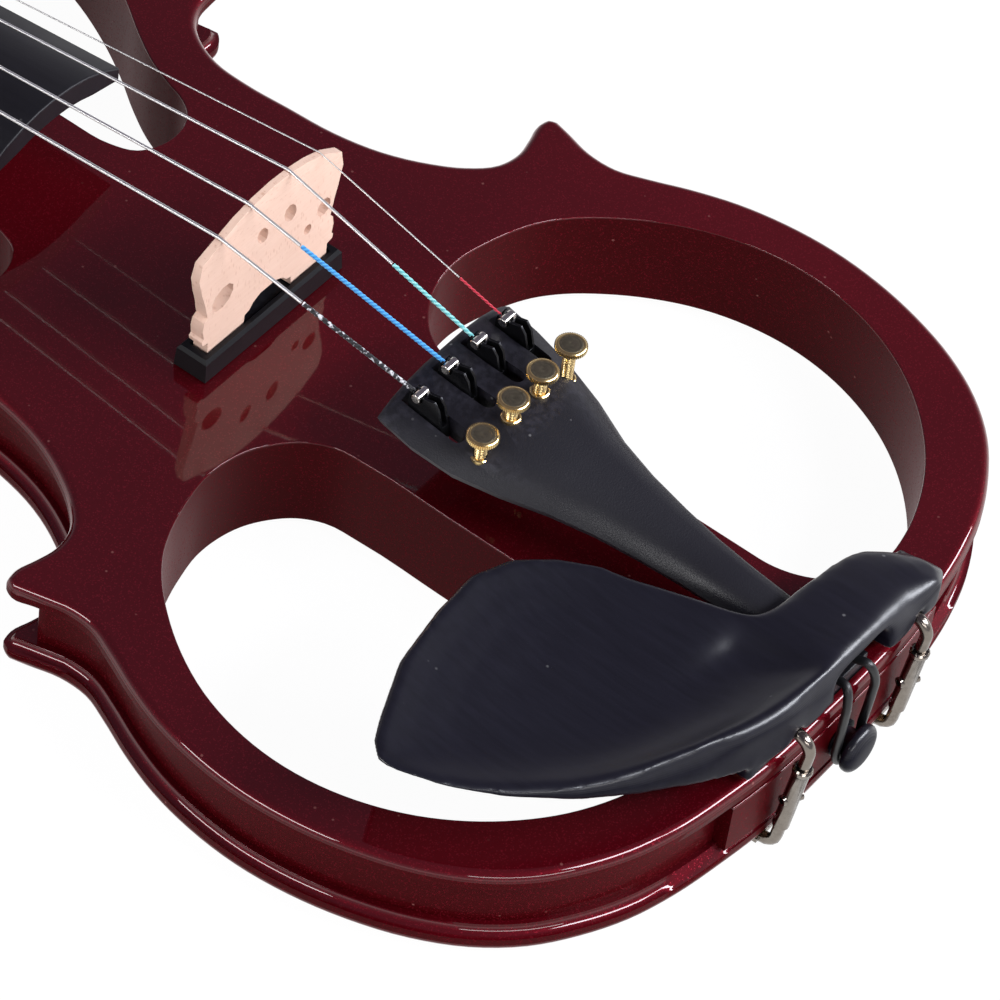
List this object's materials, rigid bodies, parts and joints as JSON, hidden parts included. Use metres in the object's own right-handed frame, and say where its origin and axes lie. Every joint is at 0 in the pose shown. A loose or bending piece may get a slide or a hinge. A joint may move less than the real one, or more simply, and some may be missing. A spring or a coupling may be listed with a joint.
{
  "type": "electric violin",
  "caption": "Dark red skeleton-bodied electric violin with black fittings, four fine tuners, a chinrest and built-in electronics.",
  "frame": {"origin": "on the body's flat back, on the centre line, straight below the middle of the bridge", "axes": "+Y along the centre line towards the scroll, +X towards the treble side, +Z out of the playing side"},
  "size_m": [0.204, 0.5951, 0.0679],
  "materials": {
    "lacquered_wood": "high-gloss dark red lacquer over maple",
    "ebony": "black, satin",
    "maple": "pale, close-grained, satin",
    "black_metal": "black, satin",
    "black_plastic": "moulded, fine-grained",
    "brass": "polished, lightly worn",
    "nickel": "polished plate",
    "string_steel": "fine wound wire",
    "cork": "pressed cork, matte",
    "nylon": "smooth black",
    "circuit_board": "green board with black parts",
    "battery_case": "dark sleeve, satin"
  },
  "bodies": {
    "violin": {"body": "lacquered_wood", "neck": "lacquered_wood", "fingerboard": "ebony", "bridge": "maple", "pickup_housing": "ebony", "pickup_strip": "black_metal", "pickup_lead": "nylon", "tailpiece": "black_metal", "string_g": "string_steel", "string_d": "string_steel", "string_a": "string_steel", "string_e": "string_steel", "nut": "ebony", "end_button": "ebony", "tail_gut": "nylon", "saddle": "ebony", "chinrest": "ebony", "cork_pad_bass": "cork", "cork_pad_treble": "cork", "clamp_rod_bass": "nickel", "clamp_rod_treble": "nickel", "control_plate": "black_plastic", "plate_screw_1": "nickel", "plate_screw_2": "nickel", "plate_screw_3": "nickel", "plate_screw_4": "nickel", "volume_control": "black_metal", "tone_control": "black_metal", "preamp_board": "circuit_board", "output_jack": "black_metal", "headphone_jack": "black_metal", "battery": "battery_case"},
    "peg_g": {"peg_g": "ebony"},
    "peg_d": {"peg_d": "ebony"},
    "peg_a": {"peg_a": "ebony"},
    "peg_e": {"peg_e": "ebony"},
    "tuner_screw_g": {"tuner_screw_g": "brass"},
    "tuner_head_g": {"tuner_head_g": "brass"},
    "tuner_lever_g": {"tuner_lever_g": "black_metal", "string_ball_g": "nickel"},
    "tuner_screw_d": {"tuner_screw_d": "brass"},
    "tuner_head_d": {"tuner_head_d": "brass"},
    "tuner_lever_d": {"tuner_lever_d": "black_metal", "string_ball_d": "nickel"},
    "tuner_screw_a": {"tuner_screw_a": "brass"},
    "tuner_head_a": {"tuner_head_a": "brass"},
    "tuner_lever_a": {"tuner_lever_a": "black_metal", "string_ball_a": "nickel"},
    "tuner_screw_e": {"tuner_screw_e": "brass"},
    "tuner_head_e": {"tuner_head_e": "brass"},
    "tuner_lever_e": {"tuner_lever_e": "black_metal", "string_ball_e": "nickel"},
    "volume_knob": {"volume_knob": "black_plastic"},
    "tone_knob": {"tone_knob": "black_plastic"},
    "power_switch": {"power_switch": "black_plastic"},
    "battery_lid": {"battery_lid": "black_plastic"},
    "clamp_barrel_bass": {"clamp_barrel_bass": "nickel"},
    "clamp_barrel_treble": {"clamp_barrel_treble": "nickel"},
    "clamp": {"clamp_foot": "nickel", "clamp_cork": "cork"}
  },
  "joints": [
    {"name": "peg_g_turn", "type": "hinge", "parent": "violin", "child": "peg_g", "pos_m": [0, 0.349, 0.01301], "axis": [1, 0, 0], "continuous": true},
    {"name": "peg_d_turn", "type": "hinge", "parent": "violin", "child": "peg_d", "pos_m": [0, 0.378, 0.00988], "axis": [1, 0, 0], "continuous": true},
    {"name": "peg_a_turn", "type": "hinge", "parent": "violin", "child": "peg_a", "pos_m": [0, 0.3915, 0.00882], "axis": [1, 0, 0], "continuous": true},
    {"name": "peg_e_turn", "type": "hinge", "parent": "violin", "child": "peg_e", "pos_m": [0, 0.3635, 0.01125], "axis": [1, 0, 0], "continuous": true},
    {"name": "tuner_g_travel", "type": "slide", "parent": "violin", "child": "tuner_screw_g", "axis": [0, 0, 1], "range_m": [-0.0022, 0.0004]},
    {"name": "tuner_g_turn", "type": "hinge", "parent": "tuner_screw_g", "child": "tuner_head_g", "pos_m": [-0.01368, -0.0678, 0.04873], "axis": [0, 0, 1], "range_deg": [-1590, 292]},
    {"name": "tuner_g_lever", "type": "hinge", "parent": "violin", "child": "tuner_lever_g", "pos_m": [-0.01368, -0.0534, 0.04273], "axis": [1, 0, 0], "range_deg": [-1.65, 8.85]},
    {"name": "tuner_d_travel", "type": "slide", "parent": "violin", "child": "tuner_screw_d", "axis": [0, 0, 1], "range_m": [-0.0022, 0.0004]},
    {"name": "tuner_d_turn", "type": "hinge", "parent": "tuner_screw_d", "child": "tuner_head_d", "pos_m": [-0.00398, -0.0678, 0.04978], "axis": [0, 0, 1], "range_deg": [-1590, 292]},
    {"name": "tuner_d_lever", "type": "hinge", "parent": "violin", "child": "tuner_lever_d", "pos_m": [-0.00398, -0.0534, 0.04378], "axis": [1, 0, 0], "range_deg": [-1.65, 8.85]},
    {"name": "tuner_a_travel", "type": "slide", "parent": "violin", "child": "tuner_screw_a", "axis": [0, 0, 1], "range_m": [-0.0022, 0.0004]},
    {"name": "tuner_a_turn", "type": "hinge", "parent": "tuner_screw_a", "child": "tuner_head_a", "pos_m": [0.00572, -0.0678, 0.04979], "axis": [0, 0, 1], "range_deg": [-1590, 292]},
    {"name": "tuner_a_lever", "type": "hinge", "parent": "violin", "child": "tuner_lever_a", "pos_m": [0.00572, -0.0534, 0.04379], "axis": [1, 0, 0], "range_deg": [-1.65, 8.85]},
    {"name": "tuner_e_travel", "type": "slide", "parent": "violin", "child": "tuner_screw_e", "axis": [0, 0, 1], "range_m": [-0.0022, 0.0004]},
    {"name": "tuner_e_turn", "type": "hinge", "parent": "tuner_screw_e", "child": "tuner_head_e", "pos_m": [0.01542, -0.0678, 0.04884], "axis": [0, 0, 1], "range_deg": [-1590, 292]},
    {"name": "tuner_e_lever", "type": "hinge", "parent": "violin", "child": "tuner_lever_e", "pos_m": [0.01542, -0.0534, 0.04284], "axis": [1, 0, 0], "range_deg": [-1.65, 8.85]},
    {"name": "volume_turn", "type": "hinge", "parent": "violin", "child": "volume_knob", "pos_m": [0.017, 0.0334, -0.0016], "axis": [0, 0, 1], "range_deg": [-150, 150]},
    {"name": "tone_turn", "type": "hinge", "parent": "violin", "child": "tone_knob", "pos_m": [0.0279, 0.0334, -0.0016], "axis": [0, 0, 1], "range_deg": [-150, 150]},
    {"name": "power_slide", "type": "slide", "parent": "violin", "child": "power_switch", "axis": [1, 0, 0], "range_m": [0, 0.004]},
    {"name": "battery_lid_hinge", "type": "hinge", "parent": "violin", "child": "battery_lid", "pos_m": [-0.02355, 0.0138, 0.0013], "axis": [-1, 0, 0], "range_deg": [0, 95]},
    {"name": "clamp_barrel_bass_turn", "type": "hinge", "parent": "violin", "child": "clamp_barrel_bass", "pos_m": [-0.0213, -0.1567, 0.0131], "axis": [0.0571, -0.0914, 0.9942], "range_deg": [-387, 0]},
    {"name": "clamp_barrel_treble_turn", "type": "hinge", "parent": "violin", "child": "clamp_barrel_treble", "pos_m": [0.0203, -0.1567, 0.0131], "axis": [0.0571, -0.0914, 0.9942], "range_deg": [-387, 0]},
    {"name": "clamp_travel", "type": "slide", "parent": "violin", "child": "clamp", "axis": [0.0571, -0.0914, 0.9942], "range_m": [-0.0015, 0]}
  ],
  "couplings": [
    {"joint": "tuner_g_turn", "follows": "tuner_g_travel", "rad_per_m": 12566},
    {"joint": "tuner_g_lever", "follows": "tuner_g_travel", "rad_per_m": -69.44},
    {"joint": "tuner_d_turn", "follows": "tuner_d_travel", "rad_per_m": 12566},
    {"joint": "tuner_d_lever", "follows": "tuner_d_travel", "rad_per_m": -69.44},
    {"joint": "tuner_a_turn", "follows": "tuner_a_travel", "rad_per_m": 12566},
    {"joint": "tuner_a_lever", "follows": "tuner_a_travel", "rad_per_m": -69.44},
    {"joint": "tuner_e_turn", "follows": "tuner_e_travel", "rad_per_m": 12566},
    {"joint": "tuner_e_lever", "follows": "tuner_e_travel", "rad_per_m": -69.44},
    {"joint": "clamp_barrel_bass_turn", "follows": "clamp_travel", "rad_per_m": 4488.3},
    {"joint": "clamp_barrel_treble_turn", "follows": "clamp_travel", "rad_per_m": 4488.3}
  ]
}
